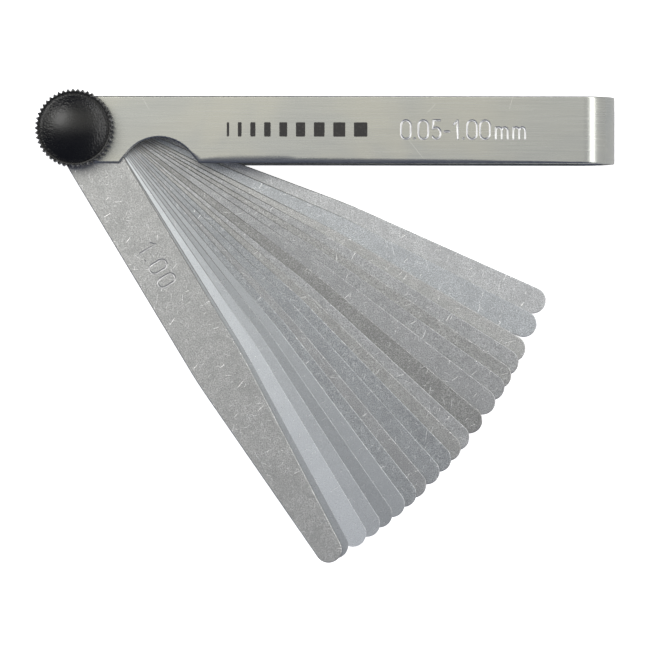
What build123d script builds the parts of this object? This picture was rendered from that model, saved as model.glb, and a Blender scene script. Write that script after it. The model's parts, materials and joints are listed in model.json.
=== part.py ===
"""Feeler gauge: twenty leaves of graded thickness, fanned out of a bent steel case.

Frame: the pivot axis is Z, and the origin is the centre of the pivot screw's head, on its flat underside.
The case runs along +X. The leaves are fanned out of its long edge, towards -Y. Millimetres.
"""

import os
from math import acos, atan2, cos, degrees, hypot, pi, radians, sin, tan

from build123d import *

# Leaves
leaf_length = 100.0
leaf_width = 10.0
leaf_tip_radius = 2.5
leaf_taper_start = 53.0  # from the pivot to where the sides begin to close in
leaf_bore = 5.1
leaf_gap = 0.02  # oil film between neighbours

# Thickness in hundredths of a millimetre, and how far each leaf is swung out of the case, in degrees.
# They are in order from the knob's side to the screw head's side.
leaf_fan = [
    (100, 58.9),
    (5, 58.0),
    (10, 55.5),
    (15, 53.5),
    (20, 51.7),
    (25, 49.8),
    (30, 48.0),
    (35, 46.4),
    (40, 44.2),
    (45, 42.2),
    (50, 40.5),
    (55, 38.9),
    (60, 36.4),
    (65, 33.7),
    (70, 31.7),
    (75, 30.1),
    (80, 28.3),
    (85, 26.5),
    (90, 23.3),
    (95, 20.3),
]

# Case: one steel strip bent double
strip_width = 12.7
strip_thickness = 0.8
case_reach = 102.0  # from the pivot to the outside of the bend
notch_centre = 15.75
notch_mouth = 15.1
notch_depth = 4.8
notch_radius = 7.5
notch_flank_angle = 50.0
front_hole = 5.2

# Pivot screw
head_diameter = 10.0
head_height = 1.6
head_edge_radius = 0.5
neck_side = 5.3  # square neck that stops the screw turning in the case
neck_clearance = 0.05
shank_diameter = 5.0
thread_diameter = 4.9
thread_chamfer = 0.5

# Washer between the knob and the case
washer_diameter = 11.0
washer_bore = 5.3
washer_thickness = 0.8

# Knob and its threaded insert
knob_diameter = 14.8
knob_teeth = 49
knob_tooth_depth = 0.55
knob_rim_height = 4.8
knob_rim_chamfer = 0.35
knob_lift_off = 0.2  # the knob's rim stands this far off the case
dome_diameter = 12.9
dome_step = 0.35
dome_rise = 1.35
insert_diameter = 8.0
insert_height = 4.0
insert_bore = 5.0
insert_groove_width = 1.2
insert_groove_depth = 0.6
screw_end_in_insert = 3.4
relief_depth = 0.6
running_gap = 0.02

# Heights along the pivot, from the underside of the screw's head
leaf_stack = sum(hundredths for hundredths, _ in leaf_fan) / 100 + leaf_gap * (len(leaf_fan) + 1)
back_outer = head_height
back_inner = back_outer + strip_thickness
front_inner = back_inner + leaf_stack
front_outer = front_inner + strip_thickness
washer_base = front_outer + running_gap
washer_top = washer_base + washer_thickness
knob_base = front_outer + knob_lift_off
insert_base = washer_top + running_gap
insert_top = insert_base + insert_height
rim_top = knob_base + knob_rim_height
dome_edge = rim_top + dome_step
dome_top = dome_edge + dome_rise

os.makedirs("parts", exist_ok=True)


def save(part, name):
    """Names the piece and writes it as its own STEP file."""
    part.label = name
    export_step(part, f"parts/{name}.step")


def swung_plane(height, swing):
    """A plane across the pivot whose X axis is swung out of the case by an angle in degrees."""
    turn = radians(swing)
    return Plane(origin=(0, 0, height), x_dir=(cos(turn), -sin(turn), 0), z_dir=(0, 0, 1))


# Leaves, from the screw head's side up
half_width = leaf_width / 2
tip_centre = leaf_length - half_width - leaf_tip_radius
reach = hypot(leaf_taper_start - tip_centre, half_width)
touch = atan2(half_width, leaf_taper_start - tip_centre) - acos(leaf_tip_radius / reach)
touch_x = tip_centre + leaf_tip_radius * cos(touch)
touch_y = leaf_tip_radius * sin(touch)

leaf_base = back_inner + leaf_gap
for hundredths, swing in reversed(leaf_fan):
    thickness = hundredths / 100
    with BuildPart() as leaf:
        with BuildSketch(swung_plane(leaf_base, swing)):
            with BuildLine():
                ThreePointArc((0, half_width), (-half_width, 0), (0, -half_width))
                Line((0, -half_width), (leaf_taper_start, -half_width))
                Line((leaf_taper_start, -half_width), (touch_x, -touch_y))
                ThreePointArc((touch_x, -touch_y), (tip_centre + leaf_tip_radius, 0), (touch_x, touch_y))
                Line((touch_x, touch_y), (leaf_taper_start, half_width))
                Line((leaf_taper_start, half_width), (0, half_width))
            make_face()
            Circle(leaf_bore / 2, mode=Mode.SUBTRACT)
        extrude(amount=thickness)
    save(leaf.part, f"leaf_{hundredths:03d}")
    leaf_base += thickness + leaf_gap

# Case
bend_radius = (front_outer - back_outer) / 2
bend_centre = case_reach - bend_radius
bend_height = (front_outer + back_outer) / 2
half_strip = strip_width / 2
notch_half = notch_mouth / 2
flank = radians(notch_flank_angle)
notch_top = -half_strip + notch_depth
notch_arc_centre = notch_top - notch_radius
flank_x = notch_radius * sin(flank)
flank_y = notch_arc_centre + notch_radius * cos(flank)
notch_mouth_y = flank_y - (notch_half - flank_x) * tan(flank)
below_strip = notch_mouth_y - 2.0

with BuildPart() as case:
    with BuildSketch(Plane.XZ):
        with BuildLine():
            Line((-half_strip, front_outer), (bend_centre, front_outer))
            ThreePointArc((bend_centre, front_outer), (case_reach, bend_height), (bend_centre, back_outer))
            Line((bend_centre, back_outer), (-half_strip, back_outer))
            Line((-half_strip, back_outer), (-half_strip, back_inner))
            Line((-half_strip, back_inner), (bend_centre, back_inner))
            ThreePointArc(
                (bend_centre, back_inner),
                (case_reach - strip_thickness, bend_height),
                (bend_centre, front_inner),
            )
            Line((bend_centre, front_inner), (-half_strip, front_inner))
            Line((-half_strip, front_inner), (-half_strip, front_outer))
        make_face()
    extrude(amount=half_strip, both=True)
    # Round the ends about the pivot
    with BuildSketch(Plane.XY):
        Circle(half_strip)
        with Locations((case_reach / 2, 0)):
            Rectangle(case_reach, strip_width)
    extrude(amount=front_outer, mode=Mode.INTERSECT)
    # Thumb notch through both sides
    with BuildSketch(Plane.XY):
        with BuildLine():
            Polyline(
                (notch_centre + flank_x, flank_y),
                (notch_centre + notch_half, notch_mouth_y),
                (notch_centre + notch_half, below_strip),
                (notch_centre - notch_half, below_strip),
                (notch_centre - notch_half, notch_mouth_y),
                (notch_centre - flank_x, flank_y),
            )
            ThreePointArc(
                (notch_centre - flank_x, flank_y),
                (notch_centre, notch_top),
                (notch_centre + flank_x, flank_y),
            )
        make_face()
    extrude(amount=front_outer, mode=Mode.SUBTRACT)
    # Round hole in the front for the shank, square hole in the back for the neck
    with BuildSketch(Plane.XY.offset(front_inner)):
        Circle(front_hole / 2)
    extrude(amount=strip_thickness, mode=Mode.SUBTRACT)
    with BuildSketch(Plane.XY.offset(back_outer)):
        Rectangle(neck_side + 2 * neck_clearance, neck_side + 2 * neck_clearance)
    extrude(amount=strip_thickness, mode=Mode.SUBTRACT)
save(case.part, "case")

# Pivot screw
screw_end = insert_base + screw_end_in_insert
with BuildPart() as pivot_screw:
    with BuildSketch(Plane.XY):
        Circle(head_diameter / 2)
    extrude(amount=head_height)
    fillet(pivot_screw.edges().sort_by(Axis.Z)[0], radius=head_edge_radius)
    with BuildSketch(Plane.XY.offset(head_height)):
        Rectangle(neck_side, neck_side)
    extrude(amount=strip_thickness - neck_clearance)
    with BuildSketch(Plane.XY.offset(head_height)):
        Circle(shank_diameter / 2)
    extrude(amount=front_outer - head_height)
    with BuildSketch(Plane.XY.offset(front_outer)):
        Circle(thread_diameter / 2)
    extrude(amount=screw_end - front_outer)
    chamfer(pivot_screw.edges().sort_by(Axis.Z)[-1], length=thread_chamfer)
save(pivot_screw.part, "pivot_screw")

# Washer
with BuildPart() as washer:
    with BuildSketch(Plane.XY.offset(washer_base)):
        Circle(washer_diameter / 2)
        Circle(washer_bore / 2, mode=Mode.SUBTRACT)
    extrude(amount=washer_thickness)
save(washer.part, "washer")


def insert_outline(clearance):
    """Half section of the insert's outside, from the axis out, grown by a clearance."""
    outer = insert_diameter / 2 + clearance
    waist = outer - insert_groove_depth
    middle = (insert_base + insert_top) / 2
    half_groove = insert_groove_width / 2 - clearance
    Polyline(
        (0, insert_base),
        (outer, insert_base),
        (outer, middle - half_groove),
        (waist, middle - half_groove),
        (waist, middle + half_groove),
        (outer, middle + half_groove),
        (outer, insert_top + clearance),
        (0, insert_top + clearance),
        close=True,
    )


# Threaded insert, moulded into the knob and held by its waist
with BuildPart() as knob_insert:
    with BuildSketch(Plane.XZ):
        with BuildLine():
            insert_outline(0)
        make_face()
    revolve(axis=Axis.Z)
    with BuildSketch(Plane.XY.offset(insert_base)):
        Circle(insert_bore / 2)
    extrude(amount=insert_height, mode=Mode.SUBTRACT)
save(knob_insert.part, "knob_insert")

# Knob: domed cap with a toothed rim, hollow underneath for the washer and the insert
knob_radius = knob_diameter / 2
root_radius = knob_radius - knob_tooth_depth
dome_radius = dome_diameter / 2
tooth_half_angle = pi / knob_teeth
mouth_radius = knob_radius + knob_tooth_depth
mouth_half = mouth_radius * tan(tooth_half_angle) * (mouth_radius - root_radius) / knob_tooth_depth / 2
with BuildPart() as knob_cap:
    with BuildSketch(Plane.XZ):
        with BuildLine():
            Polyline(
                (0, dome_top),
                (0, knob_base),
                (knob_radius - knob_rim_chamfer, knob_base),
                (knob_radius, knob_base + knob_rim_chamfer),
                (knob_radius, rim_top - knob_rim_chamfer),
                (knob_radius - knob_rim_chamfer, rim_top),
                (dome_radius, rim_top),
                (dome_radius, dome_edge),
            )
            sagitta_radius = (dome_radius**2 + dome_rise**2) / (2 * dome_rise)
            half_turn = acos(1 - dome_rise / sagitta_radius) / 2
            ThreePointArc(
                (dome_radius, dome_edge),
                (
                    sagitta_radius * sin(half_turn),
                    dome_top - sagitta_radius * (1 - cos(half_turn)),
                ),
                (0, dome_top),
            )
        make_face()
    revolve(axis=Axis.Z)
    # Teeth
    with BuildSketch(Plane.XY.offset(knob_base)):
        with PolarLocations(0, knob_teeth):
            with BuildLine():
                Polyline(
                    (root_radius, 0),
                    (mouth_radius, mouth_half),
                    (mouth_radius, -mouth_half),
                    close=True,
                )
            make_face()
    extrude(amount=knob_rim_height, mode=Mode.SUBTRACT)
    # Recess for the washer, seat for the insert, relief over the screw's end
    with BuildSketch(Plane.XY.offset(knob_base)):
        Circle(washer_diameter / 2 + knob_lift_off)
    extrude(amount=insert_base - knob_base, mode=Mode.SUBTRACT)
    with BuildSketch(Plane.XZ):
        with BuildLine():
            insert_outline(running_gap / 2)
        make_face()
    revolve(axis=Axis.Z, mode=Mode.SUBTRACT)
    with BuildSketch(Plane.XY.offset(insert_top)):
        Circle(insert_bore / 2)
    extrude(amount=relief_depth, mode=Mode.SUBTRACT)
save(knob_cap.part, "knob_cap")

print(f"stack {leaf_stack:.2f}, case depth {front_outer - back_outer:.2f}, height {dome_top:.2f}")
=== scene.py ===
import json
import math

import bmesh
import bpy
from mathutils import Matrix, Vector


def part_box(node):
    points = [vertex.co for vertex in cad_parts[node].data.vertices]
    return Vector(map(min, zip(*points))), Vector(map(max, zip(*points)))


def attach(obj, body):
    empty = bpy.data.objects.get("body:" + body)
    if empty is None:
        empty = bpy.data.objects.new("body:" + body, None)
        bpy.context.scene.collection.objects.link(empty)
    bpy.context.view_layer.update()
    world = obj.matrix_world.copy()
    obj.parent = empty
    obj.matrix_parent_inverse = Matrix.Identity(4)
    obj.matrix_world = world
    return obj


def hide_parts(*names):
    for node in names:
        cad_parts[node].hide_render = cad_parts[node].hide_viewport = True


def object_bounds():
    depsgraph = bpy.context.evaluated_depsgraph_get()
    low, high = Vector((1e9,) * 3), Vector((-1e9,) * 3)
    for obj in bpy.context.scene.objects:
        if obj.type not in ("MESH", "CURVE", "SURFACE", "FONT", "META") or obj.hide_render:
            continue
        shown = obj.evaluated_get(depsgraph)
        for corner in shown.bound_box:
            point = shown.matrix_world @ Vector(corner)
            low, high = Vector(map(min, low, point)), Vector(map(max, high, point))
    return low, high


# Feeler gauge: a fan of steel leaves in a bent steel case, with a knurled plastic locking knob.
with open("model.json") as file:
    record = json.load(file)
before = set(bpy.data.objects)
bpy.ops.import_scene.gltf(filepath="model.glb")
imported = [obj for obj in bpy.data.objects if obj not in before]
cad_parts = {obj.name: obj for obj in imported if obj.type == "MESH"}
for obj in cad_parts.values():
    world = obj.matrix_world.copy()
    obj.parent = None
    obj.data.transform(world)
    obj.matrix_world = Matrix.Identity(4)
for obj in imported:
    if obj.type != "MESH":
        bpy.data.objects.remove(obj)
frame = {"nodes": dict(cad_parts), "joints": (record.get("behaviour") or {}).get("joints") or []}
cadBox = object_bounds()

mm = 0.001
caseLow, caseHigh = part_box("case")
knobLow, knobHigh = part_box("knob_cap")
screwLow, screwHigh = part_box("pivot_screw")
washerLow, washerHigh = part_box("washer")
insertLow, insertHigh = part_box("knob_insert")
leafNames = sorted(name for name in frame["nodes"] if name.startswith("leaf_"))
foldAngle = {joint["name"]: joint["range_deg"][1] for joint in frame["joints"] if joint["type"] == "hinge"}
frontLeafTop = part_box("leaf_100")[1].z
print("frame:", len(frame["nodes"]), "nodes,", len(leafNames), "leaves")


def feed(tree, socket, value):
    if isinstance(value, bpy.types.NodeSocket):
        tree.links.new(value, socket)
    else:
        socket.default_value = value


def newNode(tree, kind, inputs=None, **settings):
    node = tree.nodes.new(kind)
    for name, value in settings.items():
        setattr(node, name, value)
    for key, value in (inputs or {}).items():
        feed(tree, node.inputs[key], value)
    return node


def calc(tree, operation, first, second=0.5, third=0.0, clamp=False):
    inputs = {0: first, 1: second, 2: third}
    return newNode(tree, "ShaderNodeMath", inputs, operation=operation, use_clamp=clamp).outputs[0]


def times(tree, first, second):
    return calc(tree, "MULTIPLY", first, second)


def remap(tree, value, fromLow, fromHigh, toLow=0.0, toHigh=1.0):
    inputs = {"Value": value, "From Min": fromLow, "From Max": fromHigh, "To Min": toLow,
              "To Max": toHigh}
    return newNode(tree, "ShaderNodeMapRange", inputs, interpolation_type="SMOOTHSTEP").outputs[0]


def mixColours(tree, factor, first, second, blend="MIX"):
    node = newNode(tree, "ShaderNodeMix", data_type="RGBA", blend_type=blend)
    feed(tree, node.inputs[0], factor)
    feed(tree, node.inputs[6], first)
    feed(tree, node.inputs[7], second)
    return node.outputs[2]


# A colour laid over another where a mask shows, at a share of the mask's strength
def layOver(tree, colour, mask, share, over):
    return mixColours(tree, times(tree, mask, share), colour, over)


def gradeColour(tree, factor, dark, light):
    return mixColours(tree, factor, (*dark, 1.0), (*light, 1.0))


def axesOf(tree, vector):
    return newNode(tree, "ShaderNodeSeparateXYZ", {"Vector": vector}).outputs


def vectorFrom(tree, **axes):
    return newNode(tree, "ShaderNodeCombineXYZ", axes).outputs[0]


def vectorCalc(tree, operation, first, second=(0.0, 0.0, 0.0)):
    return newNode(tree, "ShaderNodeVectorMath", {0: first, 1: second}, operation=operation).outputs


# Distance from the pivot's axis
def fromAxis(tree, axes):
    squares = calc(tree, "ADD", times(tree, axes["X"], axes["X"]), times(tree, axes["Y"], axes["Y"]))
    return calc(tree, "SQRT", squares)


def newGroup(name, inputs, outputs):
    tree = bpy.data.node_groups.new(name, "ShaderNodeTree")
    for socketName, kind, value in inputs:
        socket = tree.interface.new_socket(socketName, in_out="INPUT", socket_type="NodeSocket" + kind)
        if value is not None:
            socket.default_value = value
    for socketName, kind in outputs:
        tree.interface.new_socket(socketName, in_out="OUTPUT", socket_type="NodeSocket" + kind)
    return tree, tree.nodes.new("NodeGroupInput").outputs, tree.nodes.new("NodeGroupOutput").inputs


def placeGroup(tree, group, inputs):
    node = newNode(tree, "ShaderNodeGroup")
    node.node_tree = group
    for key, value in inputs.items():
        feed(tree, node.inputs[key], value)
    return node.outputs


def noise(tree, vector, scale, detail=2.0, roughness=0.5, distortion=0.0):
    inputs = {"Vector": vector, "Scale": scale, "Detail": detail, "Roughness": roughness,
              "Distortion": distortion}
    return newNode(tree, "ShaderNodeTexNoise", inputs).outputs["Fac"]


# Straight scratches, one to a cell, each turned its own way
def buildScratchLayer():
    tree, given, out = newGroup(
        "scratchLayer",
        [("Vector", "Vector", None), ("Scale", "Float", 600.0), ("Seed", "Float", 0.0),
         ("Width", "Float", 0.03), ("Length", "Float", 0.45), ("Share", "Float", 0.5)],
        [("Mask", "Float")])
    shift = vectorFrom(tree, X=given["Seed"], Y=times(tree, given["Seed"], 1.7))
    moved = vectorCalc(tree, "ADD", given["Vector"], shift)[0]
    cells = newNode(tree, "ShaderNodeTexVoronoi", {"Vector": moved, "Scale": given["Scale"]},
                    voronoi_dimensions="2D")
    inCell = vectorCalc(tree, "SUBTRACT", moved, cells.outputs["Position"])[0]
    sized = newNode(tree, "ShaderNodeVectorMath", {0: inCell}, operation="SCALE")
    feed(tree, sized.inputs["Scale"], given["Scale"])
    chance = newNode(tree, "ShaderNodeSeparateColor", {"Color": cells.outputs["Color"]}).outputs
    turned = newNode(tree, "ShaderNodeVectorRotate",
                     {"Vector": sized.outputs[0], "Angle": times(tree, chance["Red"], 6.2832)},
                     rotation_type="Z_AXIS")
    local = axesOf(tree, turned.outputs[0])
    # A little bow keeps the scratches from looking ruled
    bow = times(tree, times(tree, local["X"], local["X"]),
                times(tree, calc(tree, "SUBTRACT", chance["Blue"], 0.5), 0.5))
    across = calc(tree, "ABSOLUTE", calc(tree, "ADD", local["Y"], bow))
    along = calc(tree, "ABSOLUTE", local["X"])
    line = remap(tree, across, 0.0, given["Width"], 1.0, 0.0)
    reach = times(tree, given["Length"], calc(tree, "ADD", chance["Blue"], 0.25))
    ends = remap(tree, along, times(tree, reach, 0.55), reach, 1.0, 0.0)
    present = calc(tree, "LESS_THAN", chance["Green"], given["Share"])
    feed(tree, out["Mask"], times(tree, times(tree, line, ends), present))
    return tree


# Tumbled steel: scratches of several sizes over a mottled skin
def buildTumbled(scratchLayer):
    tree, given, out = newGroup(
        "tumbledSteel",
        [("Vector", "Vector", None), ("Seed", "Float", 0.0), ("Mottle Scale", "Float", 5400.0)],
        [("Scratches", "Float"), ("Mottle", "Float"), ("Clouds", "Float"), ("Height", "Float")])
    layers = (
        # scale, width, length, share, strength
        (210.0, 0.016, 0.22, 0.60, 1.0),
        (400.0, 0.030, 0.28, 0.60, 0.9),
        (760.0, 0.056, 0.34, 0.60, 0.7),
        (1500.0, 0.090, 0.38, 0.50, 0.45),
    )
    total = None
    for place, (scale, width, length, share, strength) in enumerate(layers):
        mask = placeGroup(tree, scratchLayer, {
            "Vector": given["Vector"], "Scale": scale, "Width": width, "Length": length, "Share": share,
            "Seed": calc(tree, "ADD", given["Seed"], 0.37 * (place + 1))})["Mask"]
        mask = times(tree, mask, strength)
        total = mask if total is None else calc(tree, "MAXIMUM", total, mask)
    moved = vectorCalc(tree, "ADD", given["Vector"], vectorFrom(tree, X=given["Seed"]))[0]
    mottle = noise(tree, moved, given["Mottle Scale"], 3.0, 0.6)
    clouds = remap(tree, noise(tree, moved, 210.0, 4.0, 0.6, 0.8), 0.40, 0.66)
    feed(tree, out["Scratches"], total)
    feed(tree, out["Mottle"], mottle)
    feed(tree, out["Clouds"], clouds)
    feed(tree, out["Height"], calc(tree, "SUBTRACT", mottle, times(tree, total, 0.8)))
    return tree


# Fine lines of a brushed strip, running along X and round the bend
def buildBrushed():
    tree, given, out = newGroup(
        "brushedStrip",
        [("Vector", "Vector", None), ("Lines Per Metre", "Float", 5200.0)],
        [("Lines", "Float"), ("Streaks", "Float"), ("Clouds", "Float")])
    axes = axesOf(tree, given["Vector"])

    def lines(alongScale, share, detail):
        vector = vectorFrom(tree, X=times(tree, axes["X"], alongScale),
                            Y=times(tree, axes["Y"], times(tree, given["Lines Per Metre"], share)),
                            Z=times(tree, axes["Z"], alongScale))
        return noise(tree, vector, 1.0, detail, 0.65)

    feed(tree, out["Lines"], lines(90.0, 1.0, 3.0))
    feed(tree, out["Streaks"], lines(28.0, 0.22, 2.0))
    feed(tree, out["Clouds"], noise(tree, given["Vector"], 60.0, 2.0, 0.5, 0.8))
    return tree


# How far a face leans from the flat of its part: 0 on the flat, 1 square to it
def buildLean():
    tree, given, out = newGroup(
        "leanFromFlat", [("Flat Normal", "Vector", (0.0, 0.0, 1.0))], [("Lean", "Float")])
    normal = newNode(tree, "ShaderNodeNewGeometry").outputs["Normal"]
    flat = vectorCalc(tree, "NORMALIZE", given["Flat Normal"])[0]
    match = vectorCalc(tree, "DOT_PRODUCT", normal, flat)["Value"]
    feed(tree, out["Lean"], calc(tree, "SUBTRACT", 1.0, calc(tree, "ABSOLUTE", match)))
    return tree


# Rubbed spots along exposed edges, broken up by small dents: a mask for wear, and on the leaves and the knob's teeth
# also for a painted highlight
def buildEdgeWearAndGlint():
    tree, given, out = newGroup(
        "edgeWearAndGlint",
        [("Vector", "Vector", None), ("Edge", "Float", 0.0), ("Scale", "Float", 900.0),
         ("Cover", "Float", 0.5)],
        [("Mask", "Float")])
    edge = remap(tree, given["Edge"], 0.01, 0.14)
    patchy = noise(tree, given["Vector"], given["Scale"], 3.0, 0.6)
    threshold = calc(tree, "SUBTRACT", 0.75, times(tree, given["Cover"], 0.5))
    broken = remap(tree, patchy, threshold, calc(tree, "ADD", threshold, 0.12))
    feed(tree, out["Mask"], times(tree, edge, broken))
    return tree


# Moulded plastic skin: shallow pebbles with a finer grain on them
def buildPebbles():
    tree, given, out = newGroup(
        "pebbledSkin",
        [("Vector", "Vector", None), ("Scale", "Float", 2900.0), ("Amount", "Float", 1.0)],
        [("Height", "Float"), ("Tone", "Float")])
    cells = newNode(tree, "ShaderNodeTexVoronoi",
                    {"Vector": given["Vector"], "Scale": given["Scale"], "Smoothness": 0.6, "Randomness": 1.0},
                    feature="SMOOTH_F1")
    pebble = remap(tree, cells.outputs["Distance"], 0.15, 0.75, 1.0, 0.0)
    grain = noise(tree, given["Vector"], 5200.0, 3.0, 0.6)
    pebble = times(tree, pebble, given["Amount"])
    feed(tree, out["Height"], calc(tree, "ADD", pebble, times(tree, grain, 0.35)))
    feed(tree, out["Tone"], noise(tree, given["Vector"], 420.0, 3.0, 0.6))
    return tree


scratchLayer = buildScratchLayer()
tumbled = buildTumbled(scratchLayer)
brushed = buildBrushed()
leanFromFlat = buildLean()
edgeWearAndGlint = buildEdgeWearAndGlint()
pebbles = buildPebbles()
print("shared surface effects built")


def newMaterial(name, metallic, **fixed):
    material = bpy.data.materials.new(name)
    material.use_nodes = True
    tree = material.node_tree
    shader = tree.nodes["Principled BSDF"]
    shader.inputs["Metallic"].default_value = metallic
    for socket, value in fixed.items():
        shader.inputs[socket.replace("_", " ")].default_value = value
    where = tree.nodes.new("ShaderNodeTexCoord").outputs["Object"]
    return material, tree, shader, where


def dress(tree, shader, colour, rough, height, strength, distance):
    feed(tree, shader.inputs["Base Color"], colour)
    feed(tree, shader.inputs["Roughness"], rough)
    bump = newNode(tree, "ShaderNodeBump", {"Height": height, "Strength": strength, "Distance": distance})
    feed(tree, shader.inputs["Normal"], bump.outputs[0])


leafFinish = {
    "cool": (0.96, 1.0, 1.03),  # thin strip, faintly blue
    "plain": (0.985, 1.0, 1.01),
    "warm": (0.995, 1.0, 0.98),
    # how strongly each surface effect shows
    "smooth": {"mottle": 0.10, "cloud": 0.07, "scratch": 0.16, "bump": 0.16, "roughness": 0.30},
    "tumbled": {"mottle": 0.35, "cloud": 0.20, "scratch": 0.45, "bump": 0.48, "roughness": 0.33},
    "grainDepth": 0.02 * mm,
    "dulled": 0.72,  # of the tone, in the clouds
    # light edge colour: wear, and a painted highlight along the leaves' edges
    "wornAndGlint": (0.80, 0.80, 0.78, 1.0),
    # painted shade on the leaves' steep side walls, deepening the dark lines between leaves
    "paintedSideShade": (0.16, 0.16, 0.16, 1.0),
    # painted shade between the stacked leaves: a dark band along each leaf's edges, fading out away from the pivot
    "paintedGapShade": (0.07, 0.065, 0.06, 1.0),
    "paintedGapShadeWidth": (0.08 * mm, 0.17 * mm),  # in from the edge
    "paintedGapShadeReach": (30.0 * mm, 60.0 * mm),  # out from the pivot, where it thins out
    "paintedGapShadeShare": 0.75,
}

# Each leaf's lightness, tint and finish, by thickness in hundredths of a millimetre
leafSteel = {
    100: (0.455, "warm", "tumbled"), 5: (0.455, "cool", "smooth"), 10: (0.70, "cool", "smooth"),
    15: (0.545, "cool", "smooth"), 20: (0.425, "cool", "smooth"), 25: (0.475, "cool", "smooth"),
    30: (0.39, "cool", "tumbled"), 35: (0.39, "plain", "tumbled"), 40: (0.38, "cool", "tumbled"),
    45: (0.375, "cool", "tumbled"), 50: (0.395, "warm", "tumbled"), 55: (0.425, "plain", "tumbled"),
    60: (0.32, "warm", "tumbled"), 65: (0.395, "plain", "tumbled"), 70: (0.40, "plain", "tumbled"),
    75: (0.39, "warm", "tumbled"), 80: (0.435, "plain", "tumbled"), 85: (0.475, "warm", "tumbled"),
    90: (0.515, "cool", "tumbled"), 95: (0.555, "plain", "tumbled"),
}


def leafMaterial(hundredths):
    tone, tintName, finishName = leafSteel[hundredths]
    tint, finish = leafFinish[tintName], leafFinish[finishName]
    material, tree, shader, where = newMaterial(f"leafSteel{hundredths:03d}", 1.0)
    skin = placeGroup(tree, tumbled, {"Vector": where, "Seed": 0.11 * hundredths})
    lean = placeGroup(tree, leanFromFlat, {})["Lean"]
    wearAndGlint = placeGroup(tree, edgeWearAndGlint, {"Vector": where, "Edge": lean, "Scale": 1500.0, "Cover": 0.45})
    shade = [[tone * (1 + sign * finish["mottle"]) * part for part in tint] for sign in (-1, 1)]
    colour = gradeColour(tree, remap(tree, skin["Mottle"], 0.32, 0.68), *shade)
    dull = [tone * leafFinish["dulled"] * part for part in tint] + [1.0]
    colour = layOver(tree, colour, skin["Clouds"], finish["cloud"] * 2, dull)
    bright = [min(1.0, tone + finish["scratch"])] * 3 + [1.0]
    colour = layOver(tree, colour, skin["Scratches"], 0.8, bright)
    # Wear and painted highlight: a light, rougher colour on the tops of the leaf's rounded edges
    colour = layOver(tree, colour, wearAndGlint["Mask"], 0.8, leafFinish["wornAndGlint"])
    # Painted shade: darken the steep side walls of the leaf, where the face leans far from the flat
    colour = mixColours(tree, remap(tree, lean, 0.42, 0.70, 0.0, 0.92), colour, leafFinish["paintedSideShade"])
    axes = axesOf(tree, where)
    # Painted shade: darken a thin band along the leaf's edges near the pivot, where the leaf above shades it
    fromEdge = calc(tree, "SUBTRACT", leafShape["width"] / 2, calc(tree, "ABSOLUTE", axes["Y"]))
    paintedGapShade = times(tree, remap(tree, fromEdge, *leafFinish["paintedGapShadeWidth"], 1.0, 0.0),
                  remap(tree, axes["X"], *leafFinish["paintedGapShadeReach"], leafFinish["paintedGapShadeShare"], 0.0))
    colour = mixColours(tree, paintedGapShade, colour, leafFinish["paintedGapShade"])
    rough = calc(tree, "ADD", finish["roughness"] - 0.06, times(tree, skin["Mottle"], 0.12))
    rough = calc(tree, "SUBTRACT", rough, times(tree, skin["Scratches"], 0.08), clamp=True)
    rough = calc(tree, "MAXIMUM", rough, times(tree, wearAndGlint["Mask"], 0.6))
    dress(tree, shader, colour, rough, skin["Height"], finish["bump"], leafFinish["grainDepth"])
    return material


# Stamped figures: the floor of each groove is duller and a little darker
def stampedMaterial(name, tone):
    material, tree, shader, where = newMaterial(name, 1.0)
    grit = noise(tree, where, 3800.0, 3.0, 0.6)
    colour = gradeColour(tree, grit, (tone * 0.8,) * 3, (tone * 1.15,) * 3)
    dress(tree, shader, colour, calc(tree, "ADD", 0.26, times(tree, grit, 0.16)), grit, 0.3, 0.01 * mm)
    return material


caseFinish = {
    "steel": (0.478, 0.474, 0.420),  # stainless, faintly warm
    "shade": (0.415, 0.425, 0.405),
    "lines": (0.55, 0.55, 0.505, 1.0),
    "streaks": (0.38, 0.38, 0.37, 1.0),
    "scratched": (0.78, 0.78, 0.75, 1.0),
    "wornAndGlint": (0.85, 0.85, 0.83, 1.0),
    "roughness": 0.25,
    "bump": 0.14,
    "lineDepth": 0.012 * mm,
}


def caseMaterial():
    material, tree, shader, where = newMaterial("brushedStainless", 1.0)
    skin = placeGroup(tree, brushed, {"Vector": where})
    axes = axesOf(tree, where)
    bendR = (caseHigh.z - caseLow.z) / 2
    past = calc(tree, "SUBTRACT", axes["X"], caseHigh.x - bendR)
    flat = vectorFrom(tree, X=calc(tree, "MAXIMUM", past, 0.0),
                      Z=calc(tree, "SUBTRACT", axes["Z"], caseHigh.z - bendR))
    lean = placeGroup(tree, leanFromFlat, {"Flat Normal": flat})["Lean"]
    wearAndGlint = placeGroup(tree, edgeWearAndGlint, {"Vector": where, "Edge": lean, "Scale": 700.0, "Cover": 0.35})
    few = placeGroup(tree, scratchLayer, {"Vector": where, "Scale": 95.0, "Seed": 3.1, "Width": 0.010,
                                          "Length": 0.5, "Share": 0.28})
    look = caseFinish
    colour = gradeColour(tree, remap(tree, skin["Clouds"], 0.3, 0.7), look["shade"], look["steel"])
    colour = layOver(tree, colour, remap(tree, skin["Lines"], 0.35, 0.65), 0.25, look["lines"])
    colour = layOver(tree, colour, remap(tree, skin["Streaks"], 0.5, 0.75), 0.12, look["streaks"])
    colour = layOver(tree, colour, few["Mask"], 0.30, look["scratched"])
    colour = layOver(tree, colour, wearAndGlint["Mask"], 0.5, look["wornAndGlint"])
    rough = calc(tree, "ADD", look["roughness"] - 0.05, times(tree, skin["Lines"], 0.12))
    rough = calc(tree, "SUBTRACT", rough, times(tree, few["Mask"], 0.08))
    height = calc(tree, "ADD", skin["Lines"], times(tree, skin["Streaks"], 0.6))
    dress(tree, shader, colour, rough, height, look["bump"], look["lineDepth"])
    return material


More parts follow.
